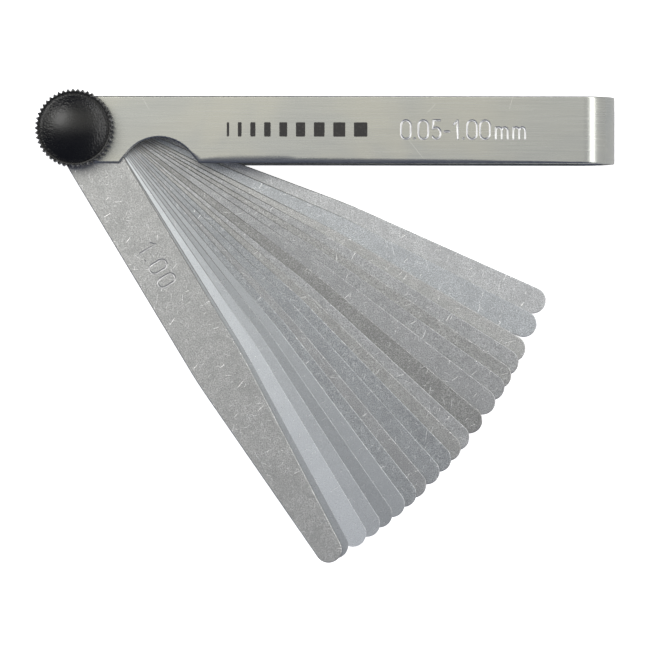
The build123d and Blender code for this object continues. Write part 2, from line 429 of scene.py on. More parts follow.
knobFinish = {
    "dark": (0.002, 0.002, 0.002),
    "light": (0.006, 0.006, 0.006),
    # light crest colour: wear, and painted glints on the teeth
    "wornAndGlint": (0.26, 0.26, 0.26, 1.0),
    "specular": 0.38,
    "roughness": 0.22,
    "bump": 0.48,
    "pebbleDepth": 0.06 * mm,
    # where the pebbles grow, the dome ends and the teeth begin, by distance from the axis
    "pebblesFrom": (3.0 * mm, 5.6 * mm),
    "domeEnds": (6.3 * mm, 6.6 * mm),
    "teethFrom": (6.6 * mm, 6.8 * mm),
}


def knobMaterial():
    look = knobFinish
    material, tree, shader, where = newMaterial("mouldedPlastic", 0.0, Specular_IOR_Level=look["specular"])
    radius = fromAxis(tree, axesOf(tree, where))
    towardsRim = remap(tree, radius, *look["pebblesFrom"], 0.12, 1.0)
    onDome = remap(tree, radius, *look["domeEnds"], 1.0, 0.25)
    skin = placeGroup(tree, pebbles, {"Vector": where, "Amount": times(tree, towardsRim, onDome)})
    point = newNode(tree, "ShaderNodeNewGeometry").outputs["Pointiness"]
    # Wear and painted glints on the crests of the teeth
    crest = times(tree, remap(tree, point, 0.52, 0.62), remap(tree, radius, *look["teethFrom"]))
    wearAndGlint = placeGroup(tree, edgeWearAndGlint, {"Vector": where, "Edge": crest, "Scale": 1500.0, "Cover": 0.6})
    colour = gradeColour(tree, skin["Tone"], look["dark"], look["light"])
    colour = layOver(tree, colour, wearAndGlint["Mask"], 0.7, look["wornAndGlint"])
    rough = calc(tree, "ADD", look["roughness"], times(tree, skin["Tone"], 0.10))
    dress(tree, shader, colour, rough, skin["Height"], look["bump"], look["pebbleDepth"])
    return material


# Turned metals: dark and light tone, roughness
turnedFinish = {
    "screwSteel": ((0.42, 0.42, 0.41), (0.66, 0.66, 0.65), 0.22),
    "turnedBrass": ((0.58, 0.42, 0.18), (0.80, 0.62, 0.32), 0.25),
    "washerSteel": ((0.36, 0.36, 0.35), (0.58, 0.58, 0.57), 0.28),
}
turnedRings = 7000.0  # to a metre


# Turned metal: fine rings about the pivot axis
def turnedMaterial(name):
    dark, light, roughness = turnedFinish[name]
    material, tree, shader, where = newMaterial(name, 1.0)
    axes = axesOf(tree, where)
    ringPlace = vectorFrom(tree, X=times(tree, fromAxis(tree, axes), turnedRings),
                           Y=times(tree, axes["Z"], turnedRings))
    rings = noise(tree, ringPlace, 1.0, 3.0, 0.6)
    stain = noise(tree, where, 700.0, 3.0, 0.6)
    few = placeGroup(tree, scratchLayer, {"Vector": where, "Scale": 500.0, "Seed": 1.3, "Width": 0.03})
    colour = gradeColour(tree, times(tree, calc(tree, "ADD", rings, stain), 0.5), dark, light)
    colour = layOver(tree, colour, few["Mask"], 0.3, (0.9, 0.9, 0.88, 1.0))
    rough = calc(tree, "ADD", roughness, times(tree, stain, 0.14))
    dress(tree, shader, colour, rough, rings, 0.35, 0.01 * mm)
    return material


# Printed ink: dull black, thin in places so that the steel greys it
inkFinish = {"black": (0.018, 0.016, 0.014), "greyed": (0.060, 0.055, 0.048), "roughness": 0.45,
             "film": 0.006 * mm}


def inkMaterial():
    material, tree, shader, where = newMaterial("padPrintInk", 0.0)
    patchy = noise(tree, where, 2600.0, 4.0, 0.65)
    colour = gradeColour(tree, remap(tree, patchy, 0.5, 0.75), inkFinish["black"], inkFinish["greyed"])
    rough = calc(tree, "ADD", inkFinish["roughness"], times(tree, patchy, 0.2))
    dress(tree, shader, colour, rough, patchy, 0.3, inkFinish["film"])
    return material


def addObject(name, data):
    thing = bpy.data.objects.new(name, data)
    bpy.context.scene.collection.objects.link(thing)
    return thing


def polar(radius, turn):
    return radius * math.cos(turn), radius * math.sin(turn)


def addRing(bm, points):
    return [bm.verts.new(point) for point in points]


def joinRings(bm, rings, smooth=True):
    for ring, following in zip(rings, rings[1:]):
        for place in range(len(ring)):
            ahead = (place + 1) % len(ring)
            face = bm.faces.new((ring[place], ring[ahead], following[ahead], following[place]))
            face.smooth = smooth


def makePiece(name, bm, materials):
    bmesh.ops.remove_doubles(bm, verts=bm.verts, dist=1e-8)
    bmesh.ops.recalc_face_normals(bm, faces=bm.faces)
    mesh = bpy.data.meshes.new(name)
    bm.to_mesh(mesh)
    bm.free()
    for material in materials:
        mesh.materials.append(material)
    return addObject(name, mesh)


# Takes a cutter's shape out of a piece and drops the cutter
def cutAway(piece, cutter, selfCrossing=True):
    change = piece.modifiers.new("cut", "BOOLEAN")
    change.operation = "DIFFERENCE"
    change.solver = "EXACT"
    change.use_self = selfCrossing
    change.object = cutter
    bpy.context.view_layer.update()
    cut = bpy.data.meshes.new_from_object(piece.evaluated_get(bpy.context.evaluated_depsgraph_get()))
    piece.modifiers.clear()
    piece.data = cut
    bpy.data.objects.remove(cutter)


def settle(piece, node, body):
    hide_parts(node)
    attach(piece, body)
    return piece


# A solid of revolution about Z. Each row is (radius, height); a radius may be a function of the angle.
def lathe(bm, rows, steps):
    rings = []
    for radius, height in rows:
        ring = []
        for step in range(steps):
            angle = 2 * math.pi * step / steps
            reach = radius(angle, height) if callable(radius) else radius
            ring.append((*polar(reach, angle), height))
        rings.append(addRing(bm, ring))
    joinRings(bm, rings)
    return rings


def arc(centreX, centreY, radiusX, radiusY, fromDeg, toDeg, steps=12):
    turns = [math.radians(fromDeg + (toDeg - fromDeg) * step / steps) for step in range(steps + 1)]
    return [(centreX + radiusX * math.cos(turn), centreY + radiusY * math.sin(turn)) for turn in turns]


def oval(centreX, centreY, radiusX, radiusY, straight=0.0, steps=12):
    top = arc(centreX, centreY + straight, radiusX, radiusY, 0, 180, steps)
    bottom = arc(centreX, centreY - straight, radiusX, radiusY, 180, 360, steps)
    return (top[:-1] + bottom[:-1]) if not straight else (top + bottom)


# Single-stroke characters on a height of 1, centred on x = 0: half the room each takes, then its strokes
# as (points, closed)
figures = {
    " ": (0.0, []),
    "0": (0.31, [(oval(0, 0.5, 0.263, 0.28, 0.22), True)]),
    "1": (0.23, [([(-0.12, 0.78), (0.09, 1.0)], False), ([(0.09, 1.0), (0.09, 0.0)], False)]),
    "2": (0.31, [(arc(0, 0.76, 0.23, 0.24, 165, -25) + [(-0.22, 0.0)], False),
                 ([(-0.22, 0), (0.24, 0)], False)]),
    "3": (0.31, [(arc(-0.01, 0.77, 0.21, 0.23, 150, -90), False),
                 (arc(-0.01, 0.27, 0.24, 0.27, 90, -150), False)]),
    "4": (0.31, [([(0.13, 0.0), (0.13, 1.0)], False), ([(0.13, 1.0), (-0.24, 0.28)], False),
                 ([(-0.24, 0.28), (0.26, 0.28)], False)]),
    "5": (0.31, [([(0.20, 1.0), (-0.17, 1.0)], False), ([(-0.17, 1.0), (-0.19, 0.56)], False),
                 (arc(-0.01, 0.31, 0.24, 0.31, 132, -145), False)]),
    "6": (0.31, [(oval(0, 0.29, 0.24, 0.29), True), (arc(0.33, 0.29, 0.57, 0.72, 180, 112), False)]),
    "7": (0.31, [([(-0.23, 1.0), (0.24, 1.0)], False), ([(0.24, 1.0), (-0.08, 0.0)], False)]),
    "8": (0.31, [(oval(0, 0.765, 0.20, 0.235), True), (oval(0, 0.27, 0.24, 0.27), True)]),
    "9": (0.31, [(oval(0, 0.71, 0.24, 0.29), True), (arc(-0.33, 0.71, 0.57, 0.72, 0, -68), False)]),
    ".": (0.08, [([(-0.025, 0.03), (0.025, 0.03)], False)]),
    "-": (0.18, [([(-0.13, 0.40), (0.13, 0.40)], False)]),
    "m": (0.43, [([(-0.32, 0.0), (-0.32, 0.63)], False),
                 (arc(-0.16, 0.45, 0.16, 0.18, 165, 0) + [(0.0, 0.0)], False),
                 (arc(0.16, 0.45, 0.16, 0.18, 165, 0) + [(0.32, 0.0)], False)]),
}


# A groove's cutter along one stroke: wide at the surface, narrower at the floor, round at the ends
def strokeCutter(bm, points, closed, tool, place):
    count = len(points)
    path = [Vector(point) for point in points]
    levels = ((tool["topHalf"], tool["above"]), (tool["floorHalf"], -tool["depth"]))

    def across(index):
        before = path[index - 1] if closed or index > 0 else path[index]
        after = path[(index + 1) % count] if closed or index < count - 1 else path[index]
        direction = (after - before).normalized()
        return Vector((-direction.y, direction.x))

    rings = []
    for index in range(count):
        left = across(index)
        corners = []
        for side, (half, level) in ((1, levels[0]), (1, levels[1]), (-1, levels[1]), (-1, levels[0])):
            point = path[index] + left * half * side
            corners.append(place(point.x, point.y, level))
        rings.append(addRing(bm, corners))
    joinRings(bm, rings + rings[:1] if closed else rings)
    if closed:
        return
    for index, turnSign in ((0, 1), (count - 1, -1)):
        left = across(index)
        fans = []
        for half, level in levels:
            fan = []
            for step in range(1, 5):
                turn = math.pi * step / 5 * turnSign
                reach = Vector((left.x * math.cos(turn) - left.y * math.sin(turn),
                                left.x * math.sin(turn) + left.y * math.cos(turn)))
                point = path[index] + reach * half
                fan.append(bm.verts.new(place(point.x, point.y, level)))
            fans.append(fan)
        ring = rings[index]
        top = [ring[0]] + fans[0] + [ring[3]]
        floor = [ring[1]] + fans[1] + [ring[2]]
        bm.faces.new(top)
        bm.faces.new(floor)
        for step in range(5):
            bm.faces.new((top[step], top[step + 1], floor[step + 1], floor[step]))


# Text laid from its first figure's centre; place maps text x, text y and height to the piece's own space
def textCutter(name, text, size, spacing, tool, place, material):
    bm = bmesh.new()
    reach = 0.0
    for number, letter in enumerate(text):
        half, strokes = figures[letter]
        if number:
            reach += half + spacing
        for points, closed in strokes:
            scaled = [((x + reach) * size, (y - 0.5) * size) for x, y in points]
            if closed:
                scaled = [point for spot, point in enumerate(scaled) if point != scaled[spot - 1]]
            strokeCutter(bm, scaled, closed, tool, place)
        reach += half + spacing
    cutter = makePiece(name, bm, [material, material])
    for face in cutter.data.polygons:
        face.material_index = 1  # the piece's second material
    return cutter


leafShape = {
    "width": 10.0 * mm,
    "length": 100.0 * mm,
    "tipRadius": 2.5 * mm,
    "taperStart": 53.0 * mm,
    "bore": 5.1 * mm,
    "edgeRound": 0.14 * mm,
    "edgeShare": 0.42,  # of the thickness, where the leaf is too thin for the full rounding
    "kinkBlend": 3.0 * mm,
    "arcSteps": 14,
    "holeSteps": 32,
    "edgeSteps": 3,
    "markStart": 26.0 * mm,  # from the pivot to the first figure's centre
    "markHeight": 3.5 * mm,
    "markSpacing": 0.124,
}
leafTool = {"topHalf": 0.20 * mm, "floorHalf": 0.10 * mm, "above": 0.02 * mm, "depth": 0.06 * mm}


# A leaf's outline, moved in by the inset
def leafOutline(inset):
    shape = leafShape
    half = shape["width"] / 2
    tipCentre = shape["length"] - half - shape["tipRadius"]
    span = math.hypot(shape["taperStart"] - tipCentre, half)
    touch = math.atan2(half, shape["taperStart"] - tipCentre) - math.acos(shape["tipRadius"] / span)
    tipR = shape["tipRadius"] - inset
    side = half - inset
    kink = tipCentre + (tipR - side * math.sin(touch)) / math.cos(touch)
    slope = -1 / math.tan(touch)
    blend = shape["kinkBlend"]
    bend = []
    for step in range(5):
        t = step / 4
        x = kink - blend + 2 * blend * t
        drop = slope * blend * t * t  # the curve that eases one straight side into the other
        bend.append((x, side + drop))
    steps = shape["arcSteps"]
    base = [math.radians(90 + 90 * step / steps) for step in range(steps + 1)]
    upperBase = [polar(side, turn) for turn in base]
    tip = [touch * step / steps for step in range(steps, -1, -1)]
    upperTip = [(tipCentre + tipR * math.cos(turn), tipR * math.sin(turn)) for turn in tip]
    # From the rear point along the upper side to the tip, then mirrored for the lower side
    upper = upperBase[::-1] + bend + upperTip
    lower = [(x, -y) for x, y in upper[1:-1]]
    return upper[::-1] + lower


def holeOutline(inset):
    steps = leafShape["holeSteps"]
    radius = leafShape["bore"] / 2 + inset
    return [polar(radius, 2 * math.pi * step / steps) for step in range(steps)]


def edgeRows(bottom, top, rounding, steps):
    rows = []
    for step in range(steps + 1):
        turn = math.pi / 2 * step / steps
        rows.append((rounding * (1 - math.sin(turn)), top - rounding * (1 - math.cos(turn))))
    rows += [(inset, bottom + top - height) for inset, height in rows[::-1]]
    return rows


# The outline starts at the tip and runs back along the upper side; the hole starts on the tip's side
def leafCap(bm, outer, hole, faceUp):
    middle = len(outer) // 2
    half = len(hole) // 2
    upper = outer[:middle + 1] + [hole[place] for place in range(half, -1, -1)]
    lower = outer[middle:] + [outer[0], hole[0]] + [hole[place] for place in range(len(hole) - 1, half - 1, -1)]
    for loop in (upper, lower):
        face = bm.faces.new(loop if faceUp else loop[::-1])
        face.smooth = False


def makeLeaf(node):
    hundredths = int(node.split("_")[1])
    low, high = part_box(node)
    thickness = high.z - low.z
    rounding = min(leafShape["edgeRound"], thickness * leafShape["edgeShare"])
    rows = edgeRows(low.z, high.z, rounding, leafShape["edgeSteps"])
    bm = bmesh.new()
    outer = [addRing(bm, [(x, y, height) for x, y in leafOutline(inset)]) for inset, height in rows]
    holes = [addRing(bm, [(x, y, height) for x, y in holeOutline(inset)]) for inset, height in rows]
    joinRings(bm, outer)
    joinRings(bm, holes)
    leafCap(bm, outer[0], holes[0], True)
    leafCap(bm, outer[-1], holes[-1], False)
    steel = leafMaterial(hundredths)
    stamped = stampedMaterial(f"leafFigures{hundredths:03d}", leafSteel[hundredths][0] * 0.85)
    piece = makePiece(f"feeler_{hundredths:03d}", bm, [steel, stamped])
    tool = dict(leafTool, depth=min(leafTool["depth"], thickness * 0.35))
    cutter = textCutter(
        f"figures_{hundredths:03d}", f"{hundredths / 100:.2f}", leafShape["markHeight"],
        leafShape["markSpacing"], tool, lambda x, y, level: (x + leafShape["markStart"], y, high.z + level), stamped)
    cutAway(piece, cutter)
    piece.matrix_world = Matrix.Rotation(-math.radians(foldAngle[node + "_swing"]), 4, "Z")
    return settle(piece, node, node)


for leafName in leafNames:
    makeLeaf(leafName)
print("leaves built")


caseShape = {
    "height": 12.7 * mm,
    "wall": 0.8 * mm,
    "edgeRound": 0.26 * mm,
    "innerRound": 0.12 * mm,
    "edgeSteps": 4,
    "bendSteps": 36,
    "endSteps": 20,
    "lowerSteps": 48,
    "notchCentre": 15.75 * mm,
    "notchMouth": 15.1 * mm,
    "notchDepth": 4.8 * mm,
    "notchRadius": 7.5 * mm,
    "notchFlank": math.radians(50),
    "notchSteps": 24,
    "plainMargin": 0.34 * mm,  # how far the cut edges are rolled over
    "rollSlope": 0.09,
    "rollCurve": 2.3,
    "flatRing": 0.12 * mm,  # keeps the shading of the roll off the flat
    "rollRows": (0.0, 0.16, 0.28, 0.40, 0.52, 0.66, 0.82, 1.0),
    "frontHole": 5.2 * mm,
    "neckHole": 5.4 * mm,
    "markStart": 62.25 * mm,
    "markHeight": 3.5 * mm,
    "markSpacing": 0.04,
}
caseTool = {"topHalf": 0.21 * mm, "floorHalf": 0.09 * mm, "above": 0.02 * mm, "depth": 0.13 * mm}

# The front's lower edge is rolled over most just past the notch, and less towards the bend: x, width in mm
rolledMargin = ((23.3, 1.05), (26.5, 1.45), (31.0, 1.60), (39.0, 1.65), (41.5, 1.20), (69.0, 0.95),
                (84.0, 0.62), (97.0, 0.34))


def marginAt(x):
    for (x0, width0), (x1, width1) in zip(rolledMargin, rolledMargin[1:]):
        if x <= x1 * mm:
            share = max(0.0, (x / mm - x0) / (x1 - x0))
            return (width0 + (width1 - width0) * share * share * (3 - 2 * share)) * mm
    return rolledMargin[-1][1] * mm


# One side of the strip from the top of its pivot end, round the end, along the notched edge to the bend
def sideOutline(inset):
    shape = caseShape
    half = shape["height"] / 2 - inset
    radius = shape["notchRadius"] + inset
    flank = shape["notchFlank"]
    centre = shape["notchCentre"]
    arcY = -shape["height"] / 2 + shape["notchDepth"] - shape["notchRadius"]
    flankX = shape["notchRadius"] * math.sin(flank)
    flankY = arcY + shape["notchRadius"] * math.cos(flank)
    mouthY = flankY - (shape["notchMouth"] / 2 - flankX) * math.tan(flank)
    # The straight flank, moved in by the inset, meets the inset edge here
    edgeX = shape["notchMouth"] / 2 + (half + mouthY) / math.tan(flank) + inset / math.sin(flank)
    ends = [math.radians(90 + 180 * step / shape["endSteps"]) for step in range(shape["endSteps"] + 1)]
    turns = [flank * (1 - 2 * step / shape["notchSteps"]) for step in range(shape["notchSteps"] + 1)]
    points = [polar(half, turn) for turn in ends]
    points.append((centre - edgeX, -half))
    points += [(centre - radius * math.sin(turn), arcY + radius * math.cos(turn)) for turn in turns]
    bendX = caseHigh.x - (caseHigh.z - caseLow.z) / 2
    for step in range(shape["lowerSteps"]):
        points.append((centre + edgeX + (bendX - centre - edgeX) * step / shape["lowerSteps"], -half))
    return points


def sideMargins(points):
    half = caseShape["height"] / 2
    margins = []
    for x, y in points:
        onLowerEdge = x > caseShape["notchCentre"] and y < -half + 0.05 * mm
        margins.append(marginAt(x) if onLowerEdge else caseShape["plainMargin"])
    return margins


# Inset from the outline and depth below the outer face, for one row of the edge's section
def edgePlace(row, margin):
    kind, value = row
    outer, inner = caseShape["edgeRound"], caseShape["innerRound"]
    roll = max(0.0, margin - outer)
    drop = roll * caseShape["rollSlope"]
    if kind == "flat":
        return outer + roll + value, 0.0
    if kind == "roll":
        return outer + roll * (1 - value), drop * value ** caseShape["rollCurve"]
    if kind == "outer":
        return outer * (1 - math.sin(value)), drop + outer * (1 - math.cos(value))
    return inner * (1 - math.sin(value)), caseShape["wall"] - inner * (1 - math.cos(value))


def caseSection():
    turns = [math.pi / 2 * step / caseShape["edgeSteps"] for step in range(caseShape["edgeSteps"] + 1)]
    rows = [("flat", caseShape["flatRing"])] + [("roll", value) for value in caseShape["rollRows"]]
    rows += [("outer", turn) for turn in turns[1:]]
    rows += [("inner", turn) for turn in turns[::-1]]
    return rows


def caseRing(row):
    outline, moved = sideOutline(0.0), sideOutline(mm)
    bendR = (caseHigh.z - caseLow.z) / 2
    bendX = caseHigh.x - bendR
    middle = (caseHigh.z + caseLow.z) / 2
    plainInset, plainDepth = edgePlace(row, 0.0)
    front = []
    for (x, y), (movedX, movedY), margin in zip(outline, moved, sideMargins(outline)):
        inset, depth = edgePlace(row, margin)
        front.append((x + (movedX - x) * inset / mm, y + (movedY - y) * inset / mm, caseHigh.z - depth))
    back = [(x + (movedX - x) * plainInset / mm, y + (movedY - y) * plainInset / mm, caseLow.z + plainDepth)
            for (x, y), (movedX, movedY) in zip(outline, moved)]
    half = caseShape["height"] / 2 - plainInset
    turns = [math.pi * step / caseShape["bendSteps"] for step in range(caseShape["bendSteps"] + 1)]
    reach = bendR - plainDepth
    bend = [(bendX + reach * math.sin(turn), middle + reach * math.cos(turn)) for turn in turns]
    ring = front + [(x, -half, z) for x, z in bend] + back[::-1] + [(x, half, z) for x, z in bend[::-1]]
    return ring, len(front)


def caseCap(bm, ring, sideCount, outward):
    count = caseShape["bendSteps"]
    lower = ring[sideCount:sideCount + count + 1]
    upper = ring[2 * sideCount + count + 1:]  # runs from the back to the front
    front = ring[:sideCount] + [lower[0], upper[-1]]
    back = ring[sideCount + count + 1:2 * sideCount + count + 1] + [upper[0], lower[-1]]
    faces = [(front, False), (back, False)]
    faces += [([lower[step], lower[step + 1], upper[count - step - 1], upper[count - step]], True)
              for step in range(count)]
    for loop, smooth in faces:
        bm.faces.new(loop if outward else loop[::-1]).smooth = smooth


def holeCutter(name, width, low, high, square=False):
    steps = 4 if square else 48
    reach = width / 2 * (math.sqrt(2) if square else 1)
    turns = [2 * math.pi * (step + 0.5) / steps for step in range(steps)]
    bm = bmesh.new()
    rings = [addRing(bm, [(*polar(reach, turn), height) for turn in turns]) for height in (low, high)]
    joinRings(bm, rings, smooth=not square)
    bm.faces.new(rings[0][::-1])
    bm.faces.new(rings[1])
    return makePiece(name, bm, [])


def makeCase():
    wall = caseShape["wall"]
    bm = bmesh.new()
    rings = []
    for row in caseSection():
        points, sideCount = caseRing(row)
        rings.append(addRing(bm, points))
    joinRings(bm, rings)
    caseCap(bm, rings[0], sideCount, True)
    caseCap(bm, rings[-1], sideCount, False)
    steel = caseMaterial()
    stamped = stampedMaterial("caseFigures", 0.60)
    piece = makePiece("bentCase", bm, [steel, stamped])
    cutAway(piece, holeCutter("frontHole", caseShape["frontHole"], caseHigh.z - 2 * wall, caseHigh.z + wall))
    cutAway(piece, holeCutter("neckHole", caseShape["neckHole"], caseLow.z - wall, caseLow.z + 2 * wall, True))
    cutter = textCutter(
        "rangeFigures", "0.05-1.00 mm", caseShape["markHeight"], caseShape["markSpacing"], caseTool,
        lambda x, y, level: (x + caseShape["markStart"], y, caseHigh.z + level), stamped)
    cutAway(piece, cutter)
    return settle(piece, "case", "frame")


# Printed pictogram: bars, each thicker than the one before
printShape = {
    "start": 28.5 * mm,
    "end": 55.0 * mm,
    "bars": 9,
    "thinnest": 0.45 * mm,
    "growth": 0.26 * mm,
    "halfHeight": 1.35 * mm,
    "film": 0.012 * mm,
    "corner": 0.16 * mm,
}


def roundedBar(bm, centreX, halfWidth, halfHeight, corner, low, high):
    corner = min(corner, halfWidth * 0.9)
    points = []
    for signX, signY, fromDeg in ((1, 1, 0), (-1, 1, 90), (-1, -1, 180), (1, -1, 270)):
        x, y = centreX + signX * (halfWidth - corner), signY * (halfHeight - corner)
        points += arc(x, y, corner, corner, fromDeg, fromDeg + 90, 4)
    rings = [addRing(bm, [(x, y, height) for x, y in points]) for height in (low, high)]
    joinRings(bm, rings, smooth=False)
    bm.faces.new(rings[0][::-1])
    bm.faces.new(rings[1])


def makePrint():
    shape = printShape
    widths = [shape["thinnest"] + shape["growth"] * number for number in range(shape["bars"])]
    gap = (shape["end"] - shape["start"] - sum(widths)) / (shape["bars"] - 1)
    bm = bmesh.new()
    x = shape["start"]
    for width in widths:
        roundedBar(bm, x + width / 2, width / 2, shape["halfHeight"], shape["corner"],
                   caseHigh.z - shape["film"] / 2, caseHigh.z + shape["film"])
        x += width + gap
    piece = makePiece("thicknessBars", bm, [inkMaterial()])
    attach(piece, "frame")
    return piece


makeCase()
makePrint()
print("case built")


knobShape = {
    "radius": 7.4 * mm,
    "teeth": 49,
    "toothDepth": 0.55 * mm,
    "stepsPerTooth": 10,
    "rimHeight": 4.8 * mm,
    "rimRound": 0.35 * mm,
    "domeRadius": 6.45 * mm,
    "domeStep": 0.35 * mm,
    "domeEdgeRound": 0.22 * mm,
    "domeSkirt": 0.10 * mm,
    "ringWidth": 0.12 * mm,
    "ringDepth": 0.12 * mm,
    "valley": 0.08,  # of half a tooth's width, before the flank starts
    "flank": 0.80,
    "recess": 5.7 * mm,
    "recessRound": 0.15 * mm,
    "footInset": 0.25 * mm,
    "slip": 0.01 * mm,
}
insertShape = {
    "radius": 4.0 * mm,
    "waist": 3.4 * mm,
    "halfGroove": 0.6 * mm,
    "relief": 0.6 * mm,
    "bore": 2.5 * mm,
    "corner": 0.15 * mm,
    "knurls": 36,
    "knurlDepth": 0.12 * mm,
    "mouth": 0.4 * mm,
    "mouthPlay": 0.02 * mm,
    "steps": 144,
}
screwShape = {
    "head": 5.0 * mm,
    "headRound": 0.5 * mm,
    "headRim": 0.15 * mm,
    "shank": 2.5 * mm,
    "neck": 2.65 * mm,  # half the square's width
    "neckCorner": 1.36,
    "neckHeight": 0.75 * mm,
    "threadStart": 0.4 * mm,
    "pointLength": 0.5 * mm,
    "pointDepth": 0.42 * mm,
    "steps": 96,
}
washerShape = {"radius": 5.5 * mm, "bore": 2.65 * mm, "corner": 0.12 * mm, "steps": 72}
threadShape = {"pitch": 0.8 * mm, "major": 2.45 * mm, "depth": 0.34 * mm, "slack": 0.06 * mm,
               "rowsPerTurn": 10}


# Ridge height of the knob's teeth at an angle, from 0 in a valley to 1 on a crest
def toothWave(angle):
    turn = angle * knobShape["teeth"] / (2 * math.pi) % 1.0
    ridge = 1 - abs(2 * turn - 1)
    return min(1.0, max(0.0, (ridge - knobShape["valley"]) / knobShape["flank"]))


def makeKnob():
    shape = knobShape
    base = knobLow.z
    rimTop = base + shape["rimHeight"]
    domeEdge = rimTop + shape["domeStep"]
    rise = knobHigh.z - domeEdge
    outer, depth, rounding = shape["radius"], shape["toothDepth"], shape["rimRound"]
    slip, skirt = shape["slip"], shape["domeSkirt"]
    middle = (insertLow.z + insertHigh.z) / 2

    def toothed(radius, share):
        return lambda angle, height: radius - depth * share * (1 - toothWave(angle))

    # A row of the rim's rounds, where centre is the height of the round's centre
    def rimRow(turn, centre):
        reach, climb = polar(rounding, math.radians(turn))
        return toothed(outer - (rounding - reach), 1 - 0.5 * abs(turn) / 90), centre + climb

    bore, relief = insertShape["bore"], insertHigh.z + insertShape["relief"]
    rows = [(0.0, relief), (bore, relief), (bore, insertHigh.z + slip)]
    outside, waist = insertShape["radius"] + slip, insertShape["waist"] + slip
    grooveTop, grooveFoot = middle + insertShape["halfGroove"] - slip, middle - insertShape["halfGroove"] + slip
    rows += [(outside, insertHigh.z + slip), (outside, grooveTop), (waist, grooveTop), (waist, grooveFoot),
             (outside, grooveFoot), (outside, insertLow.z)]
    recess, recessRound = shape["recess"], shape["recessRound"]
    rows += [(recess, insertLow.z), (recess, base + recessRound), (recess + recessRound, base),
             (outer - depth - shape["footInset"], base)]
    # The rim's lower round, its toothed wall, and its upper round
    rows += [rimRow(turn, base + rounding) for turn in (-90, -60, -30, 0)]
    wallSteps = 6
    for step in range(1, wallSteps):
        rows.append((toothed(outer, 1.0),
                     base + rounding + (shape["rimHeight"] - 2 * rounding) * step / wallSteps))
    rows += [rimRow(turn, rimTop - rounding) for turn in (0, 30, 60, 90)]
    # A shallow ring between the teeth and the dome, then the dome
    dome = shape["domeRadius"]
    rows += [(dome + shape["ringWidth"], rimTop - skirt), (dome, rimTop - shape["ringDepth"]),
             (dome, domeEdge - skirt)]
    sphere = (dome ** 2 + rise ** 2) / (2 * rise)
    edge = shape["domeEdgeRound"]
    for step in range(1, 4):
        turn = math.pi / 2 * step / 4
        rows.append((dome - edge * (1 - math.cos(turn)), domeEdge - skirt + edge * math.sin(turn)))
    start = math.asin((dome - edge) / sphere)
    for step in range(17):
        turn = start * (1 - step / 16)
        rows.append((sphere * math.sin(turn), knobHigh.z - sphere * (1 - math.cos(turn))))
    bm = bmesh.new()
    lathe(bm, rows, shape["teeth"] * shape["stepsPerTooth"])
    return settle(makePiece("lockingKnob", bm, [knobMaterial()]), "knob_cap", "knob")


def ridge(angle, height):
    turn = (height / threadShape["pitch"] - angle / (2 * math.pi)) % 1.0
    wave = 1 - abs(2 * turn - 1)
    return min(1.0, max(0.0, (wave - 0.12) / 0.70))


def threadRows(radius, low, high):
    count = max(2, round((high - low) / threadShape["pitch"] * threadShape["rowsPerTurn"]))
    return [(radius, low + (high - low) * step / count) for step in range(count + 1)]


def makeScrew():
    shape = screwShape
    head, shank, neck = shape["head"], shape["shank"], shape["neck"]
    rounding, rim = shape["headRound"], shape["headRim"]
    major, cutDepth = threadShape["major"], threadShape["depth"]
    headTop = caseLow.z
    neckTop = headTop + shape["neckHeight"]
    shankTop = caseHigh.z

    def squared(angle, height):
        return min(neck / max(abs(math.cos(angle)), abs(math.sin(angle))), neck * shape["neckCorner"])

    def threaded(angle, height):
        lead = min(1.0, max(0.0, (screwHigh.z - height) / shape["pointLength"]))
        start = min(1.0, (height - shankTop) / shape["threadStart"])
        return major - cutDepth * start * (1 - ridge(angle, height)) - (1 - lead) * shape["pointDepth"]

    rows = [(0.0, screwLow.z)] + arc(head - rounding, screwLow.z + rounding, rounding, rounding, -90, 0, 6)
    rows += [(head, headTop - rim)] + arc(head - rim, headTop - rim, rim, rim, 30, 90, 2)
    rows += [(squared, headTop), (squared, neckTop), (shank, neckTop), (shank, shankTop - 0.05 * mm),
             (major, shankTop)]
    rows += threadRows(threaded, shankTop, screwHigh.z)[1:] + [(0.0, screwHigh.z)]
    bm = bmesh.new()
    lathe(bm, rows, shape["steps"])
    return settle(makePiece("pivotScrew", bm, [turnedMaterial("screwSteel")]), "pivot_screw", "frame")


def makeInsert():
    shape = insertShape
    outside, waist, halfGroove, corner = shape["radius"], shape["waist"], shape["halfGroove"], shape["corner"]
    middle = (insertLow.z + insertHigh.z) / 2

    def knurled(angle, height):
        wave = abs(2 * (angle * shape["knurls"] / (2 * math.pi) % 1.0) - 1)
        return outside - shape["knurlDepth"] * wave

    def bored(angle, height):
        mouth = min(1.0, (height - insertLow.z) / shape["mouth"], (insertHigh.z - height) / shape["mouth"])
        inner = threadShape["major"] + threadShape["slack"] - threadShape["depth"] * (1 - ridge(angle, height))
        return inner + (1 - mouth) * (shape["bore"] + shape["mouthPlay"] - inner)

    rows = threadRows(bored, insertLow.z, insertHigh.z)
    rows += [(outside - corner, insertHigh.z), (knurled, insertHigh.z - corner),
             (knurled, middle + halfGroove), (waist, middle + halfGroove), (waist, middle - halfGroove),
             (knurled, middle - halfGroove), (knurled, insertLow.z + corner), (outside - corner, insertLow.z)]
    bm = bmesh.new()
    rings = lathe(bm, rows, shape["steps"])
    joinRings(bm, [rings[-1], rings[0]])
    insert = makePiece("threadedInsert", bm, [turnedMaterial("turnedBrass")])
    return settle(insert, "knob_insert", "knob")


